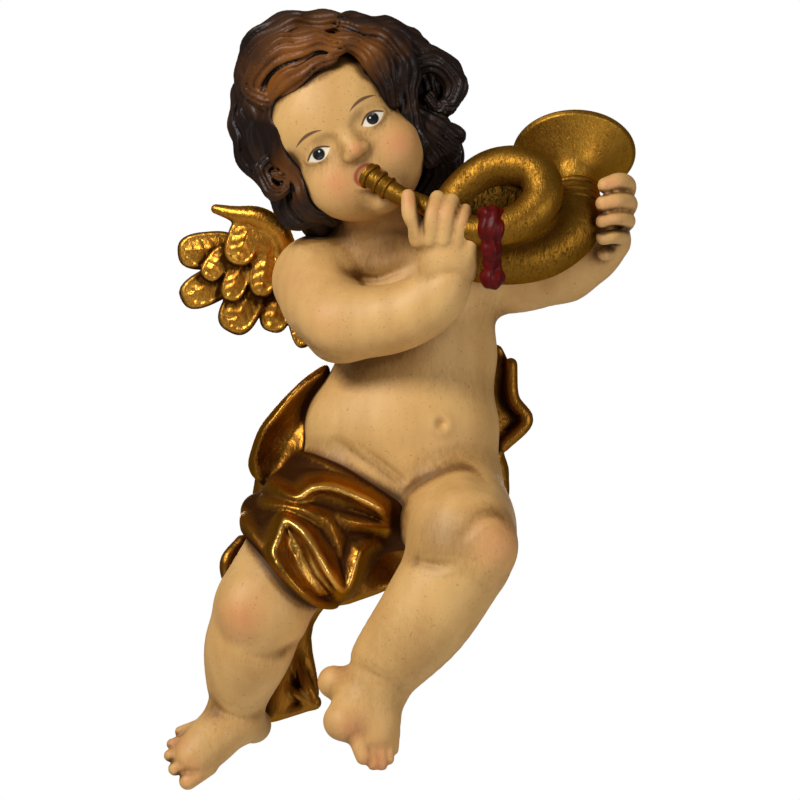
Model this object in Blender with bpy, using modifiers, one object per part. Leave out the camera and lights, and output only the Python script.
"""A carved wooden putto that blows a coiled horn, made to hang on a wall.

The figure, its hair and its cloth are one carving. Two wings and the horn are
pieces of their own. The free carving is written in points, 778 to the height of
the figure, so the pose keeps its proportions at any height. The viewer looks
along +Y, the wall is the plane y = 0, and the origin lies on the flat seat in
the figure's back that rests on the wall.
"""

import math

import bmesh
import bpy
import numpy as np
import openvdb
from mathutils import Matrix, Vector

# Driving sizes, in metres
FIGURE_HEIGHT = 0.250
POINTS_TALL = 778
POINT = FIGURE_HEIGHT / POINTS_TALL
JOINT_GAP = 0.0003
SEAT_RADIUS = 0.011
NAIL_HOLE_RADIUS = 0.002
NAIL_HOLE_DEPTH = 0.010
NAIL_HOLE_RISE = 0.006
BELL_RIM_RADIUS = 0.0199
BELL_LENGTH = 0.0105
BELL_HOLLOW_DEPTH = 0.0085
BELL_LIP = 0.0012
NECK_RADIUS = 0.0067
BELL_THROAT = 0.0055
BELL_FLARE = 1.3
BELL_RIM_ROUND = 0.0008
WELD = 0.000005

# Fineness of the carving
FIGURE_VOXEL = 3.5
WING_VOXEL = 2.5
FIGURE_FACES = 5150
WING_FACES = 560
BLOCK = 4
TUBE_ROUNDNESS = 3
TUBE_STEPS = 2
RING_SIDES = 12
NAIL_HOLE_SIDES = 16
BELL_SIDES = 18

FLESH_COLOUR = (0.72, 0.53, 0.31, 1.0)
GILT_COLOUR = (0.55, 0.36, 0.10, 1.0)


# Distance functions. Every one takes an array of places in points.


class Form:
    """A rounded shape: its distance function, and the box that holds it."""

    def __init__(self, distance, low, high, reach=26.0):
        self.distance = distance
        self.low = np.array(low, np.float32)
        self.high = np.array(high, np.float32)
        self.reach = reach

    def __call__(self, p):
        outside = np.maximum(np.maximum(self.low - p, p - self.high), 0)
        found = np.sqrt((outside**2).sum(1)).astype(np.float32)
        near = found < self.reach
        found[near] = self.distance(p[near])
        return found


def melt(first, second, softness):
    """The union of two distances, with a fillet of this softness between them."""
    if softness <= 0:
        return np.minimum(first, second)
    share = np.maximum(softness - np.abs(first - second), 0) / softness
    return np.minimum(first, second) - share * share * softness / 4


def carve_off(first, second, softness):
    """The first distance less the second one, with a rounded edge."""
    return -melt(-first, second, softness)


def melted(forms):
    """One form from a list of (form, softness), melted together in order."""

    def distance(p):
        found = forms[0][0](p)
        for form, softness in forms[1:]:
            found = melt(found, form(p), softness)
        return found

    low = np.min([form.low for form, _ in forms], axis=0)
    high = np.max([form.high for form, _ in forms], axis=0)
    return Form(distance, low, high)


def ellipsoid(centre, radii, turn=None):
    centre = np.array(centre, np.float32)
    radii = np.array(radii, np.float32)
    axes = np.eye(3, dtype=np.float32) if turn is None else np.array(turn, np.float32)

    def distance(p):
        q = (p - centre) @ axes.T
        scaled = np.linalg.norm(q / radii, axis=1)
        slope = np.linalg.norm(q / radii**2, axis=1) + 1e-6
        return scaled * (scaled - 1) / slope

    reach = np.abs(axes.T) @ radii
    return Form(distance, centre - reach, centre + reach)


def smooth_path(knots, steps=4):
    """A Catmull-Rom curve through the knots, which may carry a radius too."""
    k = np.array(knots, np.float64)
    k = np.vstack([2 * k[0] - k[1], k, 2 * k[-1] - k[-2]])
    t = np.linspace(0, 1, steps, endpoint=False)[:, None]
    spans = [
        0.5 * (2 * b + (c - a) * t + (2 * a - 5 * b + 4 * c - d) * t**2
               + (3 * b - a - 3 * c + d) * t**3)
        for a, b, c, d in zip(k[:-3], k[1:-2], k[2:-1], k[3:])
    ]
    return np.vstack(spans + [k[-2][None]])


def limb(*knots, steps=6):
    """A rounded tube of changing thickness through knots of (x, y, z, r)."""
    path = smooth_path(knots, steps)

    def distance(p):
        best = np.full(len(p), 1e9, np.float32)
        for a, b in zip(path[:-1], path[1:]):
            start, run = a[:3].astype(np.float32), (b - a)[:3].astype(np.float32)
            t = np.clip((p - start) @ run / max(float(run @ run), 1e-6), 0, 1)
            gap = p - start - t[:, None] * run
            found = np.sqrt((gap**2).sum(1)) - (a[3] + (b[3] - a[3]) * t).astype(np.float32)
            best = np.minimum(best, found)
        return best

    radii = path[:, 3:4]
    return Form(distance, (path[:, :3] - radii).min(0), (path[:, :3] + radii).max(0))


def outline_distance(x, z, outline):
    """Signed distance to a closed outline in the picture plane."""
    found = np.full(len(x), 1e18, np.float32)
    inside = np.zeros(len(x), bool)
    for (ax, az), (bx, bz) in zip(outline, outline[1:] + outline[:1]):
        ex, ez = bx - ax, bz - az
        wx, wz = x - ax, z - az
        t = np.clip((wx * ex + wz * ez) / (ex * ex + ez * ez), 0, 1)
        found = np.minimum(found, (wx - ex * t) ** 2 + (wz - ez * t) ** 2)
        crosses = (az > z) != (bz > z)
        at = ax + (z - az) * ex / (ez if ez else 1e-9)
        inside ^= crosses & (x < at)
    return np.where(inside, -1, 1) * np.sqrt(found)


def rounded(corners, steps=3):
    """A closed outline with its corners taken off."""
    k = [np.array(q, float) for q in corners]
    cut = []
    for before, here, after in zip(k[-1:] + k[:-1], k, k[1:] + k[:1]):
        start, end = here + (before - here) * 0.35, here + (after - here) * 0.35
        for t in np.linspace(0, 1, steps + 1):
            cut.append((1 - t) ** 2 * start + 2 * t * (1 - t) * here + t * t * end)
    return [tuple(map(float, q)) for q in cut]


def sheet_form(outline, middle, thickness, rounding, billow=None):
    """A slab of cloth: an outline in the picture plane, at a depth that may billow."""
    outline = rounded(outline)
    corners = np.array(outline)
    swing = 0.0 if billow is None else 16.0

    def distance(p):
        flat = outline_distance(p[:, 0], p[:, 2], outline) + rounding
        depth = middle if billow is None else middle + billow(p[:, 0], p[:, 2])
        deep = np.abs(p[:, 1] - depth) - thickness / 2 + rounding
        outer = np.sqrt(np.maximum(flat, 0) ** 2 + np.maximum(deep, 0) ** 2)
        return np.minimum(np.maximum(flat, deep), 0) + outer - rounding

    low = (corners[:, 0].min(), middle - thickness / 2 - swing, corners[:, 1].min())
    high = (corners[:, 0].max(), middle + thickness / 2 + swing, corners[:, 1].max())
    return Form(distance, low, high)


def crest_height(x, z, path, width):
    """Height of a fold whose crest follows a path of (x, z, height), falling off to each side."""
    height = np.zeros(len(x), np.float32)
    for (ax, az, ah), (bx, bz, bh) in zip(path[:-1], path[1:]):
        ex, ez = bx - ax, bz - az
        t = np.clip(((x - ax) * ex + (z - az) * ez) / (ex * ex + ez * ez), 0, 1)
        away = np.hypot(x - ax - ex * t, z - az - ez * t)
        rounded_away = np.sqrt(away**2 + CREST_ROUND**2) - CREST_ROUND
        height = np.maximum(height, (ah + (bh - ah) * t) * np.exp(-rounded_away / width))
    return height


# The body, in points


def torso():
    return melted([
        (ellipsoid((18, -66, 5), (78, 60, 70)), 0),
        (ellipsoid((18, -68, -55), (80, 63, 62)), 25),
        (ellipsoid((2, -76, -128), (98, 72, 74)), 30),
        (ellipsoid((12, -70, -188), (90, 66, 56)), 30),
        (limb((-12, -70, 55, 46), (-28, -86, 100, 42)), 18),
        (ellipsoid((-76, -78, 20), (50, 46, 46)), 26),
        (ellipsoid((62, -60, 28), (46, 44, 42)), 26),
    ])


def right_arm():
    return melted([
        (limb((-82, -82, 20, 46), (-74, -118, -4, 43), (-60, -150, -24, 38)), 0),
        (limb((-60, -150, -24, 38), (-5, -166, -18, 35), (32, -178, 0, 31), (50, -186, 28, 26)), 10),
        (ellipsoid((46, -196, 48), (30, 17, 30)), 12),
        (limb((18, -204, 58, 9.5), (10, -212, 82, 8.5), (8, -210, 101, 7)), 4),
        (limb((29, -208, 58, 9), (32, -214, 82, 8.5), (37, -198, 99, 8)), 3),
        (limb((43, -209, 58, 9), (46, -214, 82, 8.5), (51, -198, 96, 8)), 2.5),
        (limb((56, -206, 54, 8.5), (60, -211, 76, 7.5), (64, -198, 87, 7)), 2.5),
        (limb((67, -202, 44, 8), (71, -207, 64, 7), (72, -198, 76, 6.5)), 2.5),
    ])


def left_arm():
    return melted([
        (limb((70, -62, 28, 42), (120, -64, 24, 36), (165, -72, 32, 32)), 0),
        (limb((165, -72, 32, 32), (192, -82, 44, 27), (210, -92, 60, 22)), 10),
        (ellipsoid((215, -106, 86), (15, 26, 33)), 10),
        (limb((222, -104, 100, 8), (226, -130, 114, 7.5), (218, -146, 120, 7), (204, -151, 116, 6)), 3),
        (limb((224, -106, 88, 8.5), (227, -133, 97, 7.5), (216, -150, 99, 7.5), (202, -154, 95, 6.5)), 3),
        (limb((222, -106, 74, 8.5), (225, -134, 80, 7.5), (214, -150, 81, 7.5), (202, -153, 77, 6.5)), 3),
        (limb((218, -104, 62, 8), (220, -130, 63, 7), (211, -146, 62, 7), (201, -149, 59, 6)), 3),
        (limb((212, -96, 58, 10), (207, -114, 48, 8), (203, -130, 46, 7)), 4),
    ])


def right_leg():
    return melted([
        (limb((-50, -78, -190, 60), (-98, -125, -248, 52), (-135, -158, -298, 46)), 0),
        (limb((-140, -152, -318, 46), (-151, -140, -348, 44), (-160, -120, -385, 33),
            (-164, -108, -414, 25)), 14),
        (ellipsoid((-153, -184, -308), (22, 18, 24)), 16),
        (limb((-166, -110, -418, 26), (-192, -124, -443, 25), (-205, -132, -455, 22)), 12),
        (limb((-160, -106, -420, 22), (-148, -84, -426, 19)), 10),
        (limb((-205, -118, -427, 7), (-219, -123, -431, 6)), 2),
        (limb((-204, -124, -438, 7), (-227, -130, -443, 6)), 2),
        (limb((-204, -130, -448, 7.5), (-229, -137, -454, 6.5)), 2),
        (limb((-202, -134, -458, 8), (-224, -142, -467, 7)), 2),
        (limb((-192, -132, -464, 11), (-211, -144, -479, 9)), 3),
    ])


def left_leg():
    return melted([
        (limb((42, -78, -195, 60), (58, -136, -222, 57), (62, -182, -236, 54)), 0),
        (limb((58, -186, -260, 50), (24, -182, -315, 47), (-12, -172, -360, 38), (-25, -168, -384, 31)),
            14),
        (ellipsoid((88, -216, -244), (26, 22, 30)), 20),
        (limb((-25, -170, -396, 28), (-28, -180, -430, 22)), 12),
        (limb((-34, -164, -390, 24), (-65, -154, -380, 17)), 12),
        (limb((-44, -178, -404, 23), (-56, -190, -417, 20)), 14),
        (limb((-20, -176, -420, 20), (-20, -180, -434, 16)), 8),
        (limb((-42, -192, -432, 10), (-36, -198, -452, 8)), 3),
        (limb((-30, -190, -440, 8), (-26, -196, -459, 6.5)), 2),
        (limb((-20, -188, -440, 7.5), (-18, -193, -460, 6)), 2),
        (limb((-12, -184, -436, 7), (-11, -188, -455, 5.5)), 2),
        (limb((-6, -178, -428, 6.5), (-6, -182, -446, 5)), 2),
    ])


# The head, in its own frame: across, forward and up from the middle of the skull
HEAD_TILT = math.radians(33.5)
SKULL = np.array([-61.0, -100.0, 172.0])
ACROSS = np.array([math.cos(HEAD_TILT), 0.0, math.sin(HEAD_TILT)])
FORWARD = np.array([0.0, -1.0, 0.0])
UP = np.array([-math.sin(HEAD_TILT), 0.0, math.cos(HEAD_TILT)])
HEAD_AXES = np.array([ACROSS, FORWARD, UP])


def at_head(across, forward, up, *radius):
    place = SKULL + across * ACROSS + forward * FORWARD + up * UP
    return (*place, *radius)


def head():
    def lump(across, forward, up, radii):
        return ellipsoid(at_head(across, forward, up), radii, HEAD_AXES)

    forms = [
        (lump(0, 0, 0, (72, 80, 78)), 0),
        (lump(0, 20, -48, (60, 55, 52)), 20),
        (lump(0, 40, 24, (58, 37, 42)), 24),
        (lump(0, 56, -86, (17, 17, 13)), 14),
    ]
    for side in (-1, 1):
        forms += [
            (lump(side * 33, 42, -48, (27, 30, 27)), 18),
            (lump(side * 67, -6, -42, (7, 14, 20)), 6),
        ]
    rough = melted(forms)
    sockets = melted([(lump(side * 30, 84, -12, (19, 13, 10)), 0) for side in (-1, 1)])
    hollowed = Form(lambda p: carve_off(rough(p), sockets(p), 9), rough.low, rough.high)
    forms = [
        (hollowed, 0),
        (limb(at_head(0, 66, 2, 6), at_head(0, 76, -18, 7), at_head(0, 82, -29, 9)), 8),
    ]
    for side in (-1, 1):
        forms += [
            (lump(side * 30, 57, -14, (16, 16, 12)), 3),
            (lump(side * 8.5, 78, -32, (6.5, 7, 5.5)), 4),
        ]
    return melted(forms)


def lips():
    """The mouth, pursed round the mouthpiece."""
    turn = np.linspace(0, 2 * math.pi, 13)
    ring = [at_head(-4 + 12 * math.cos(t), 73 - 3 * math.cos(t) ** 2, -57 + 10 * math.sin(t),
        4.5) for t in turn]
    return limb(*ring, steps=1)


def flesh():
    return melted([
        (torso(), 0),
        (right_arm(), 6),
        (left_arm(), 12),
        (right_leg(), 14),
        (left_leg(), 12),
        (head(), 8),
        (lips(), 4),
    ])


# The hair, as locks of (x, y, z, r)
FRONT_LOCKS = [
    [(-62, -166, 252, 11), (-92, -164, 252, 17), (-122, -154, 240, 20), (-140, -142, 216, 17),
        (-132, -146, 196, 11), (-124, -152, 206, 8)],
    [(-70, -168, 240, 8), (-90, -168, 230, 12), (-112, -162, 216, 13), (-126, -152, 200, 8)],
    [(-70, -126, 268, 18), (-110, -122, 266, 22), (-138, -112, 248, 22), (-146, -104, 218, 19),
        (-147, -104, 182, 14)],
    [(-60, -134, 272, 14), (-92, -130, 274, 15), (-120, -122, 272, 13), (-136, -114, 262, 9)],
    [(-58, -164, 256, 9), (-32, -162, 246, 14), (-17, -158, 224, 14), (-11, -152, 196, 9)],
    [(-52, -144, 266, 14), (-14, -142, 254, 18), (2, -138, 226, 18), (4, -134, 188, 13)],
    [(-56, -120, 270, 18), (-4, -112, 258, 21), (22, -106, 234, 18), (30, -106, 208, 13)],
    [(2, -116, 232, 14), (32, -118, 238, 15), (52, -116, 222, 14), (52, -116, 200, 11),
        (38, -120, 191, 8), (30, -124, 202, 6)],
    [(8, -122, 190, 13), (24, -118, 176, 15), (44, -114, 166, 14), (56, -110, 161, 10)],
    [(10, -130, 178, 11), (26, -126, 160, 13), (44, -120, 150, 12), (54, -114, 148, 9)],
    [(10, -138, 184, 9), (18, -136, 160, 12), (32, -130, 140, 10)],
    [(30, -82, 158, 30), (38, -80, 130, 27), (30, -78, 106, 24), (10, -78, 90, 18)],
    [(-140, -128, 190, 15), (-124, -132, 158, 14), (-104, -136, 128, 15), (-90, -134, 100, 14),
        (-70, -126, 84, 10)],
    [(-146, -105, 180, 18), (-136, -104, 160, 17), (-126, -106, 140, 15)],
    [(-128, -132, 146, 8), (-136, -136, 126, 9), (-130, -140, 110, 8.5), (-117, -141, 109, 7.5),
        (-114, -140, 121, 6.5), (-124, -142, 124, 6)],
    [(-116, -116, 112, 17), (-112, -110, 94, 17), (-98, -108, 84, 15), (-82, -110, 82, 10)],
    [(-98, -128, 100, 13), (-84, -122, 90, 14), (-64, -116, 84, 10)],
]


def back_locks():
    """Wavy locks that fall from the crown down the back of the head."""
    locks = []
    count = 9
    for n in range(count):
        turn = math.radians(-78 + 156 * n / (count - 1))
        knots = []
        for share in (0.12, 0.34, 0.56, 0.78, 1.0):
            fall = math.radians(14 + 118 * share)
            sway = 7 * math.sin(9 * share + 1.7 * n)
            across = 90 * math.sin(fall) * math.sin(turn) + sway * math.cos(turn)
            back = -88 * math.sin(fall) * math.cos(turn) + sway * math.sin(turn)
            knots.append(at_head(across, back, 12 + 92 * math.cos(fall), 17 - 4 * share))
        locks.append(knots)
    return locks


def hairline(p):
    """How far a place is outside the face, in points, where the hair starts."""
    q = (p - SKULL.astype(np.float32)) @ HEAD_AXES.T.astype(np.float32)
    face = ((np.abs(q[:, 0] - 5) / 60) ** 3 + (np.abs(q[:, 2] + 22) / 92) ** 3) ** (1 / 3)
    return np.maximum((face - 1) * 60, 4 - q[:, 1])


def hair():
    cap = ellipsoid(at_head(0, -8, 12), (90, 86, 93), HEAD_AXES)
    sides = [(ellipsoid(at_head(side * 66, -16, -34), (26, 44, 52), HEAD_AXES), 14) for side in (-1, 1)]
    mass = melted([(cap, 0), *sides])
    shell = Form(lambda p: carve_off(mass(p), hairline(p), 6), mass.low, mass.high)
    forms = [(shell, 0)]
    forms += [(limb(*lock), 5) for lock in FRONT_LOCKS]
    forms += [(limb(*lock), 6) for lock in back_locks()]
    return melted(forms)


# The cloth round the hips
FOLD_WIDTH = 9.0
FOLD_SHARE = 0.95
CREST_ROUND = 3.5
HIP_WRAP = [
    (-102, -148), (-58, -164), (-20, -188), (6, -206), (13, -256), (-14, -290), (-44, -310),
    (-78, -308), (-106, -290), (-132, -258), (-164, -226), (-156, -198), (-132, -178),
]
WRAP_FOLDS = [
    [(-128, -184, 12), (-103, -196, 18), (-87, -187, 22), (-67, -186, 24), (-41, -196, 24),
        (-20, -208, 22), (-11, -221, 12)],
    [(-12, -226, 14), (-38, -222, 14), (-59, -217, 10)],
    [(-134, -202, 10), (-103, -206, 16), (-76, -216, 15)],
    [(-69, -222, 12), (-60, -244, 8), (-55, -266, 5)],
    [(-113, -217, 20), (-96, -229, 24), (-82, -250, 24), (-69, -272, 24), (-56, -288, 22),
        (-48, -280, 20), (-39, -251, 17),
     (-25, -242, 10)],
    [(-113, -217, 20), (-120, -236, 20), (-124, -252, 18), (-108, -276, 14), (-84, -300, 12),
        (-66, -305, 10)],
    [(-158, -216, 12), (-140, -238, 9), (-124, -256, 9)],
    [(-100, -152, 6), (-66, -168, 7), (-30, -186, 6), (2, -208, 5)],
]


def wrap_relief(x, z):
    paths = [smooth_path(fold, 3) for fold in WRAP_FOLDS]
    return FOLD_SHARE * np.max([crest_height(x, z, path, FOLD_WIDTH) for path in paths], axis=0)


def hip_wrap(body):
    """Cloth that follows the hips at a small distance, with sharp-crested folds on it."""
    outline = rounded(HIP_WRAP)

    def distance(p):
        edge = outline_distance(p[:, 0], p[:, 2], outline)
        facing = np.clip((-20 - p[:, 1]) / 40, 0, 1)
        return -melt(-(body(p) - 8 - facing * wrap_relief(p[:, 0], p[:, 2])), -edge, 6)

    corners = np.array(HIP_WRAP)
    low, high = corners.min(0), corners.max(0)
    return Form(distance, (low[0], -230, low[1]), (high[0], 0, high[1]))


BACK_PANEL = [
    (-66, -66), (98, -36), (112, -64), (116, -98), (130, -121), (118, -135), (103, -148), (112, -172),
    (105, -199), (70, -255), (-70, -318), (-172, -296), (-181, -266), (-155, -232), (-146, -170), (-130,
        -126),
]
TAIL = [(-150, -240), (-181, -266), (-175, -298), (-150, -340), (-146, -429), (-88, -411), (-80, -398),
    (-93, -331), (-60, -290)]
SWAG = [(-70, -60), (-96, -77), (-123, -104), (-143, -129), (-154, -163), (-150, -176), (-135, -189),
    (-96, -196), (-84, -150), (-70, -100)]
SWAG_FOLDS = [
    [(-76, -66, 10), (-103, -87, 24), (-123, -114, 27), (-138, -134, 25), (-146, -160, 18),
        (-138, -180, 12)],
    [(-92, -120, 3), (-98, -150, 14), (-100, -186, 20), (-118, -188, 16), (-128, -178, 8)],
]
SIDE_FOLD = [(112, -64, 5), (114, -98, 12), (128, -121, 10), (104, -146, 8)]


def swag_swing(x, z):
    """The swag beside the belly comes forward along its folds."""
    return -np.max([crest_height(x, z, smooth_path(fold, 3), 11.0) for fold in SWAG_FOLDS], axis=0)


def cloth_billow(x, z):
    """How the hanging cloth waves to and from the wall."""
    return 7 * np.sin(x / 17 + z / 60) - 3 * np.sin(x / 9 - z / 25)


def back_folds(x, z):
    """Folds that fall across the back from the right hip to the left thigh."""
    across = 0.8 * x + 0.6 * z
    return 8 * np.sin(across / 14 + np.sin(z / 45))


def drape():
    hips = melted([(torso(), 0), (right_leg(), 14)])
    return melted([
        (hip_wrap(hips), 0),
        (ellipsoid((-138, -92, -212), (22, 34, 20)), 8),
        (sheet_form(BACK_PANEL, -20, 20, 7, back_folds), 6),
        (sheet_form(TAIL, -42, 22, 7, cloth_billow), 8),
        (sheet_form(SWAG, -56, 34, 10, swag_swing), 5),
        (limb(*[(x, -30 - height / 2, z, 7) for x, z, height in SIDE_FOLD]), 6),
        (limb((96, -26, -168, 7), (103, -30, -190, 8), (99, -28, -216, 7)), 5),
        (limb((-160, -50, -242, 6), (-175, -58, -264, 7), (-170, -52, -294, 6)), 5),
        (limb((-106, -46, -356, 4), (-96, -56, -384, 6), (-86, -54, -404, 6)), 5),
        (limb((-122, -46, -380, 4), (-106, -56, -395, 5), (-88, -54, -406, 5)), 5),
        (limb((-86, -52, -406, 6), (-114, -52, -416, 5), (-143, -48, -424, 5)), 4),
    ])


def figure_field():
    seat_radius = SEAT_RADIUS / POINT
    boss = Form(
        lambda p: np.maximum(np.hypot(p[:, 0], p[:, 2]) - seat_radius, np.abs(p[:, 1] + 14) - 30),
        (-seat_radius, -44, -seat_radius), (seat_radius, 16, seat_radius))
    return melted([(flesh(), 0), (hair(), 3), (drape(), 3), (boss, 14)])


# The wings
BLUNTNESS = 2.8


def feather(root, angle, length, width, depth, thickness=5.0):
    """A flat paddle with a blunt round tip, which points at an angle in the picture plane."""
    run = np.array([math.cos(angle), 0, math.sin(angle)])
    centre = np.array([root[0], depth, root[1]]) + run * length / 2
    side = np.cross(run, (0, -1, 0))
    axes = np.array([run, side, np.cross(side, run)], np.float32)
    spread = np.array([length / 2, width / 2, thickness], np.float32)
    corner = np.abs(axes).T @ spread

    def distance(p):
        q = np.abs((p - centre.astype(np.float32)) @ axes.T) / spread
        outline = (q[:, 0] ** BLUNTNESS + q[:, 1] ** BLUNTNESS) ** (1 / BLUNTNESS)
        return (np.sqrt(outline**2 + q[:, 2] ** 2) - 1) * thickness

    return Form(distance, centre - corner, centre + corner)


def wing(root, side, fan, depth):
    """Three rows of feathers that fan out from the root, under a rolled leading edge."""
    start, end = fan
    forms = [(ellipsoid((root[0] + side * 34, depth, root[1] - 4), (46, 9, 34)), 0)]
    rows = [(5, 112, 38, 4, 0.0), (5, 82, 30, -4, 0.12), (4, 54, 26, -11, 0.05)]
    for count, length, width, step, shift in rows:
        for n in range(count):
            share = (n + shift) / (count - 1)
            angle = start + (end - start) * share
            reach = length * (1 - 0.2 * share)
            turned = angle if side > 0 else math.pi - angle
            forms.append((feather(root, turned, reach, width, depth + step, 6.5), 2.0))
    return melted(forms)


# The right wing's feathers: from (x, z), to (x, z), width and how far in front of the row behind
RIGHT_FEATHERS = [
    ((-162, 54), (-225, 49), 38, 5), ((-156, 34), (-221, 1), 36, 1), ((-146, 20), (-173, -31), 40, -3),
    ((-118, 14), (-131, -31), 31, 1), ((-108, 0), (-97, -47), 20, 3),
    ((-172, 54), (-197, 22), 24, -7), ((-158, 40), (-173, 0), 26, -9), ((-133, 58), (-141, 4), 29, -11),
    ((-151, 84), (-166, 36), 34, -15), ((-122, 40), (-116, 2), 22, -6),
]


def right_wing_form():
    depth = -34
    forms = [(ellipsoid((-146, depth + 3, 36), (46, 8, 38)), 0)]
    for start, tip, width, step in RIGHT_FEATHERS:
        angle = math.atan2(tip[1] - start[1], tip[0] - start[0])
        forms.append((feather(start, angle, math.dist(start, tip), width, depth + step, 6.5), 1.5))
    edge = limb((-112, -44, 44, 10), (-122, -50, 70, 11), (-142, -52, 84, 11), (-166, -50, 88, 8),
        (-186, -46, 93, 5))
    shoulder = ellipsoid((-136, -44, 66), (22, 12, 22))
    return melted([*forms, (edge, 4), (shoulder, 4)])


def left_wing_form():
    root = (84, 46)
    parts = wing(root, 1, (math.radians(14), math.radians(-20)), -20)
    edge = limb((82, -30, 52, 9), (104, -32, 66, 9), (132, -32, 72, 8), (160, -30, 74, 6))
    return melted([(parts, 0), (edge, 5)])


# The horn's path, in points: x, y, z and the tube's radius
HORN_PATH = [
    (-33, -178, 124, 11), (-22, -183, 116, 8.5), (0, -190, 102, 8.5), (24, -196, 92, 9.5),
    (48, -200, 76, 12), (72, -203, 67, 15), (98, -204, 69, 17.5), (124, -200, 80, 19),
    (141, -192, 102, 20), (134, -182, 125, 20), (110, -174, 132, 20), (82, -167, 124, 20),
    (54, -160, 96, 20), (47, -154, 66, 20.5), (68, -149, 42, 21.5), (104, -146, 38, 23.5),
    (142, -140, 46, 25.5), (170, -130, 68, 27), (175, -118, 92, 26), (175, -107, 112, 23),
]
BELL_AXIS = Vector((0.0, 0.66, 0.75)).normalized()
NECK = Vector((175, -98, 123))

# Mouldings: share of the horn's length, radius and height in metres
MOULDINGS = {
    "mouth_ring_1": (0.010, 0.0042, 0.0022),
    "mouth_ring_2": (0.034, 0.0036, 0.0018),
    "mouth_ring_3": (0.052, 0.0033, 0.0016),
    "neck_ring_1": (0.975, 0.0085, 0.0026),
    "neck_ring_2": (0.996, 0.0082, 0.0024),
}
RIBBON_FOLDS = [
    ((89, -208, 82), (14, 14, 10), 0.2),
    ((90, -212, 68), (15, 14, 14), -0.1),
    ((90, -210, 48), (11, 10, 14), 0.0),
    ((91, -200, 24), (13, 11, 15), 0.1),
]
COIL_WEB = ((96, -170, 106), (34, 9, 24), 0.0)


# Meshes from the distance functions


def field_values(field, places, chunk=120000):
    parts = [field(places[n:n + chunk]) for n in range(0, len(places), chunk)]
    return np.concatenate(parts)


def surface_of(field, low, high, voxel):
    """The surface where a field is zero, as a closed mesh in metres."""
    low = np.array(low, np.float32)
    block = voxel * BLOCK
    counts = np.ceil((np.array(high) - low) / block).astype(int)
    blocks = np.stack(np.meshgrid(*map(np.arange, counts), indexing="ij"), -1).reshape(-1, 3)
    middles = (low + (blocks + 0.5) * block - voxel / 2).astype(np.float32)
    rough = field_values(field, middles)
    values = np.where(rough > 0, block, -block).astype(np.float32).reshape(counts)
    for axis in range(3):
        values = np.repeat(values, BLOCK, axis)
    inner = np.stack(np.meshgrid(*[np.arange(BLOCK)] * 3, indexing="ij"), -1).reshape(-1, 3)
    near = blocks[np.abs(rough) < block * 1.4]
    index = (near[:, None, :] * BLOCK + inner[None]).reshape(-1, 3)
    values[tuple(index.T)] = field_values(field, (low + index * voxel).astype(np.float32))
    grid = openvdb.FloatGrid(float(block))
    grid.copyFromArray(values)
    points, triangles, quads = grid.convertToPolygons(isovalue=0.0)
    places = (low + points * voxel) * POINT
    mesh = bpy.data.meshes.new("carving")
    faces = [tuple(map(int, face)) for face in (*triangles, *quads)]
    mesh.from_pydata([tuple(map(float, place)) for place in places], [], faces)
    return mesh


def tidy(mesh):
    """Weld what touches, keep the largest body, and turn its faces outwards."""
    bm = bmesh.new()
    bm.from_mesh(mesh)
    bmesh.ops.remove_doubles(bm, verts=bm.verts, dist=WELD)
    bmesh.ops.dissolve_degenerate(bm, edges=bm.edges, dist=WELD)
    left = set(bm.verts)
    bodies = []
    while left:
        body, edge = set(), [left.pop()]
        while edge:
            vert = edge.pop()
            body.add(vert)
            for link in vert.link_edges:
                other = link.other_vert(vert)
                if other in left:
                    left.discard(other)
                    edge.append(other)
        bodies.append(body)
    largest = max(bodies, key=len)
    bmesh.ops.delete(bm, geom=[v for v in bm.verts if v not in largest], context="VERTS")
    bmesh.ops.triangulate(bm, faces=bm.faces)
    bmesh.ops.recalc_face_normals(bm, faces=bm.faces)
    bm.to_mesh(mesh)
    bm.free()


def link(name, mesh, collection):
    thing = bpy.data.objects.new(name, mesh)
    collection.objects.link(thing)
    return thing


def evaluated(thing):
    """A plain mesh of an object with its modifiers applied."""
    depsgraph = bpy.context.evaluated_depsgraph_get()
    return bpy.data.meshes.new_from_object(thing.evaluated_get(depsgraph))


def replace_mesh(thing, mesh):
    """Give the object its evaluated mesh and take its modifiers off."""
    thing.modifiers.clear()
    old = thing.data
    thing.data = mesh
    if old.users == 0:
        bpy.data.meshes.remove(old)


def thinned(thing, faces):
    """Bring a mesh down to about this many triangles."""
    tidy(thing.data)
    decimate = thing.modifiers.new("thin", "DECIMATE")
    decimate.ratio = min(1.0, faces / max(len(thing.data.polygons), 1))
    replace_mesh(thing, evaluated(thing))
    tidy(thing.data)


def boolean(thing, other, operation="DIFFERENCE"):
    """Cut the other object from this one, or join it to it."""
    modifier = thing.modifiers.new(operation.lower(), "BOOLEAN")
    modifier.operation = operation
    modifier.solver = "EXACT"
    modifier.object = other
    replace_mesh(thing, evaluated(thing))
    tidy(thing.data)


def grown(thing, gap, collection):
    """A cutter that stands off the object by a gap on every side."""
    mesh = thing.data.copy()
    bm = bmesh.new()
    bm.from_mesh(mesh)
    bm.normal_update()
    moves = [(v, v.normal * gap * min(v.calc_shell_factor(), 1.5)) for v in bm.verts]
    for vert, move in moves:
        vert.co += move
    bm.to_mesh(mesh)
    bm.free()
    return as_cutter(link(thing.name + "_cutter", mesh, collection))


def as_cutter(thing):
    thing.hide_render = True
    thing.display_type = "WIRE"
    return thing


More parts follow.
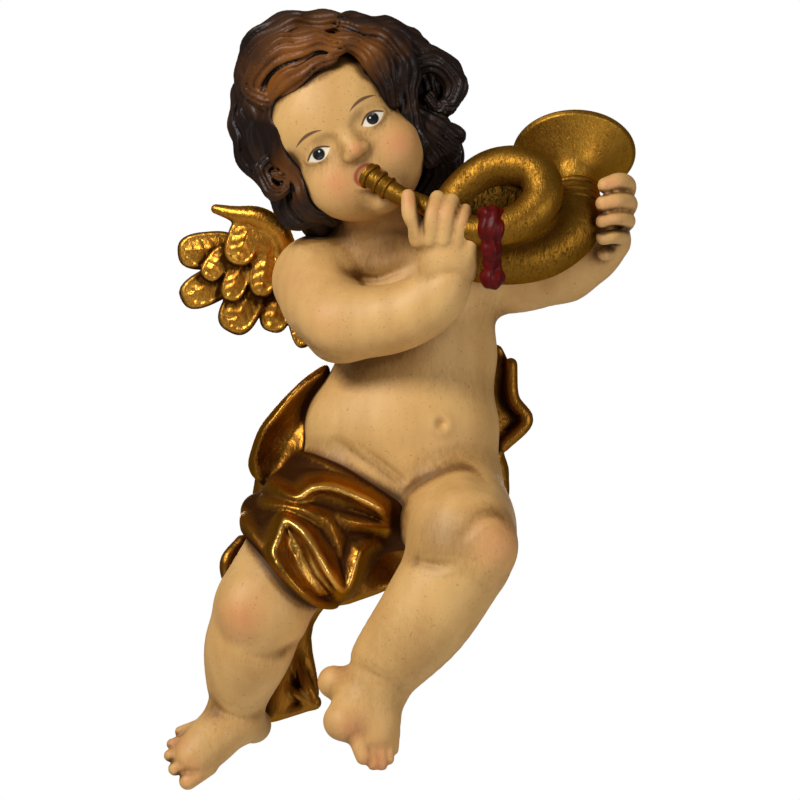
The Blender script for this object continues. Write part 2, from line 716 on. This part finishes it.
def box_cutter(name, low, high, collection):
    bm = bmesh.new()
    size = Vector(high) - Vector(low)
    middle = (Vector(high) + Vector(low)) / 2
    bmesh.ops.create_cube(bm, size=1.0, matrix=Matrix.Translation(middle) @ Matrix.Diagonal((*size, 1)))
    mesh = bpy.data.meshes.new(name)
    bm.to_mesh(mesh)
    bm.free()
    return as_cutter(link(name, mesh, collection))


def paint(thing, name, colour, roughness, metallic):
    """A material of this object's own."""
    material = bpy.data.materials.new(name)
    material.use_nodes = True
    shader = material.node_tree.nodes["Principled BSDF"]
    shader.inputs["Base Color"].default_value = colour
    shader.inputs["Roughness"].default_value = roughness
    shader.inputs["Metallic"].default_value = metallic
    thing.data.materials.clear()
    thing.data.materials.append(material)
    thing.data.shade_smooth()
    thing.data.set_sharp_from_angle(angle=math.radians(40))


# The horn


def metres(place):
    return Vector(place[:3]) * POINT


def tube(name, knots, collection):
    """A round tube of changing thickness with closed ends."""
    curve = bpy.data.curves.new(name, "CURVE")
    curve.dimensions = "3D"
    curve.bevel_depth = POINT
    curve.bevel_resolution = TUBE_ROUNDNESS
    curve.use_fill_caps = True
    spline = curve.splines.new("POLY")
    spline.points.add(len(knots) - 1)
    for point, knot in zip(spline.points, knots):
        point.co = (*metres(knot), 1.0)
        point.radius = knot[3]
    holder = link(name, curve, collection)
    mesh = evaluated(holder)
    bpy.data.objects.remove(holder)
    bpy.data.curves.remove(curve)
    tidy(mesh)
    return link(name, mesh, collection)


def turned(name, profile, start, axis, sides, collection):
    """A profile of (distance along, radius) turned round an axis."""
    bm = bmesh.new()
    verts = [bm.verts.new((radius, 0.0, along)) for along, radius in profile]
    for a, b in zip(verts[:-1], verts[1:]):
        bm.edges.new((a, b))
    mesh = bpy.data.meshes.new(name)
    bm.to_mesh(mesh)
    bm.free()
    thing = link(name, mesh, collection)
    screw = thing.modifiers.new("turn", "SCREW")
    screw.axis = "Z"
    screw.steps = sides
    screw.render_steps = sides
    screw.use_merge_vertices = True
    screw.merge_threshold = WELD
    replace_mesh(thing, evaluated(thing))
    turn = axis.to_track_quat("Z", "Y").to_matrix().to_4x4()
    thing.data.transform(Matrix.Translation(start) @ turn)
    tidy(thing.data)
    return thing


def ring(name, start, axis, radius, height, collection):
    """A rounded moulding round a tube."""
    steps = 3
    curve = [math.pi * n / steps for n in range(steps + 1)]
    profile = [(0.0, 0.0)]
    profile += [(height * (1 - math.cos(t)) / 2, radius * (0.86 + 0.14 * math.sin(t))) for t in curve]
    profile += [(height, 0.0)]
    return turned(name, profile, start, axis, RING_SIDES, collection)


def bell(name, collection):
    """The flared mouth of the horn, hollow inside."""
    steps = 5
    outer = []
    inner = []
    for n in range(steps + 1):
        share = n / steps
        flare = share**BELL_FLARE
        radius = NECK_RADIUS + (BELL_RIM_RADIUS - NECK_RADIUS) * flare
        outer.append((BELL_LENGTH * share, radius))
        throat = BELL_THROAT + (BELL_RIM_RADIUS - BELL_LIP - BELL_THROAT) * flare
        inner.append((BELL_LENGTH + BELL_RIM_ROUND - BELL_HOLLOW_DEPTH * (1 - share), throat))
    lip = [(BELL_LENGTH + BELL_RIM_ROUND, BELL_RIM_RADIUS - BELL_LIP / 3)]
    profile = [(-NECK_RADIUS, 0.0), (-NECK_RADIUS / 2, NECK_RADIUS * 0.8), *outer, *lip]
    profile += [*inner[::-1], (inner[0][0], 0.0)]
    return turned(name, profile, metres(NECK), BELL_AXIS, BELL_SIDES, collection)


def blob(name, centre, radii, turn, collection):
    """One fold of the ribbon knot."""
    bm = bmesh.new()
    bmesh.ops.create_uvsphere(bm, u_segments=7, v_segments=5, radius=1.0)
    mesh = bpy.data.meshes.new(name)
    bm.to_mesh(mesh)
    bm.free()
    size = Matrix.Diagonal((*(r * POINT for r in radii), 1))
    mesh.transform(Matrix.Translation(metres(centre)) @ Matrix.Rotation(turn, 4, "Y") @ size)
    return link(name, mesh, collection)


def horn(collection, cutters):
    """The coiled horn with its mouldings, its bell and the ribbon tied on it."""
    knots = smooth_path(HORN_PATH, TUBE_STEPS)
    thing = tube("horn", knots, collection)
    pieces = [bell("bell", cutters)]
    for name, (share, radius, height) in MOULDINGS.items():
        place, along, _ = on_horn(share)
        start = Vector(place[:3]) * POINT - along * height / 2
        pieces.append(ring(name, start, along, radius, height, cutters))
    for n, (centre, radii, turn) in enumerate(RIBBON_FOLDS):
        pieces.append(blob(f"ribbon_fold_{n + 1}", centre, radii, turn, cutters))
    pieces.append(blob("coil_web", *COIL_WEB, cutters))
    for piece in pieces:
        boolean(thing, as_cutter(piece), "UNION")
    return thing


def on_horn(share):
    """Place, direction and radius at a share of the horn's length."""
    path = smooth_path(HORN_PATH, 8)
    lengths = np.linalg.norm(np.diff(path[:, :3], axis=0), axis=1)
    travelled = np.concatenate([[0], np.cumsum(lengths)])
    at = share * travelled[-1]
    n = min(int(np.searchsorted(travelled, at, "right")) - 1, len(path) - 2)
    t = (at - travelled[n]) / lengths[n]
    place = path[n] + (path[n + 1] - path[n]) * t
    along = Vector(path[n + 1][:3] - path[n][:3]).normalized()
    return place, along, place[3]


def main():
    for thing in list(bpy.data.objects):
        bpy.data.objects.remove(thing)
    parts = bpy.data.collections.new("wooden_putto_with_horn")
    cutters = bpy.data.collections.new("cutters")
    for collection in (parts, cutters):
        bpy.context.scene.collection.children.link(collection)

    field = figure_field()
    figure = link("figure", surface_of(field, field.low - 6, field.high + 6, FIGURE_VOXEL), parts)
    thinned(figure, FIGURE_FACES)
    low = (-FIGURE_HEIGHT, 0, -FIGURE_HEIGHT)
    high = (FIGURE_HEIGHT, FIGURE_HEIGHT / 2, FIGURE_HEIGHT)
    wall = box_cutter("wall_cutter", low, high, cutters)
    boolean(figure, wall)
    reach = NAIL_HOLE_DEPTH * 2
    profile = [(0, 0), (0, NAIL_HOLE_RADIUS), (reach, NAIL_HOLE_RADIUS), (reach, 0)]
    bottom = Vector((0, -NAIL_HOLE_DEPTH, NAIL_HOLE_RISE))
    hole = turned("nail_hole_cutter", profile, bottom, Vector((0, 1, 0)), NAIL_HOLE_SIDES, cutters)
    boolean(figure, as_cutter(hole))

    coil = horn(parts, cutters)
    boolean(figure, grown(coil, JOINT_GAP, cutters))
    stand_off = grown(figure, JOINT_GAP, cutters)
    paint(figure, "painted_wood", FLESH_COLOUR, 0.5, 0.0)
    paint(coil, "gilded_wood_horn", GILT_COLOUR, 0.4, 0.8)
    for name, form in (("wing_right", right_wing_form()), ("wing_left", left_wing_form())):
        feathers = link(name, surface_of(form, form.low - 5, form.high + 5, WING_VOXEL), parts)
        thinned(feathers, WING_FACES)
        boolean(feathers, wall)
        boolean(feathers, stand_off)
        paint(feathers, "gilded_wood_" + name, GILT_COLOUR, 0.4, 0.8)
    for thing in parts.objects:
        print(thing.name, len(thing.data.polygons), "triangles")


if __name__ == "__main__":
    main()
